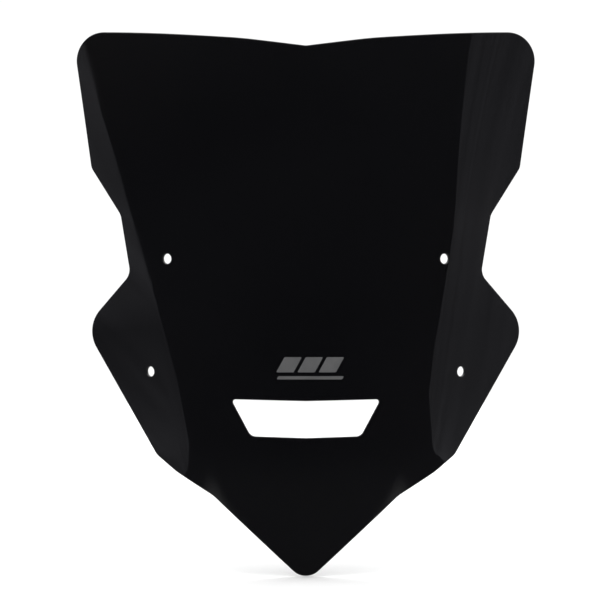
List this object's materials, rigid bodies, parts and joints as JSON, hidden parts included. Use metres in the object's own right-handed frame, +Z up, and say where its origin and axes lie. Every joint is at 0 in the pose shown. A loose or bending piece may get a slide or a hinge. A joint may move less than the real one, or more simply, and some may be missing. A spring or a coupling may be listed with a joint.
{
  "type": "motorcycle windshield screen",
  "caption": "Tall bent motorcycle windshield with a notched top, swept-back wings, a vent slot, mounting holes and a pointed chin.",
  "frame": {"origin": "under the tip of the chin in height, in the middle of the screen's width and of its depth", "axes": "+Z up along the straight middle of the face, -Y out of the face towards the wind, +X across the screen; the screen stands upright, so a motorcycle's rake is added when it is placed"},
  "size_m": [0.435, 0.1036, 0.5067],
  "materials": {
    "acrylic": "polished, deep smoke tint that reads as black",
    "mark_film": "satin grey cut film"
  },
  "bodies": {
    "root": {"screen_panel": "acrylic", "mark_bar_left": "mark_film", "mark_bar_middle": "mark_film", "mark_bar_right": "mark_film", "mark_underline": "mark_film"}
  },
  "joints": []
}
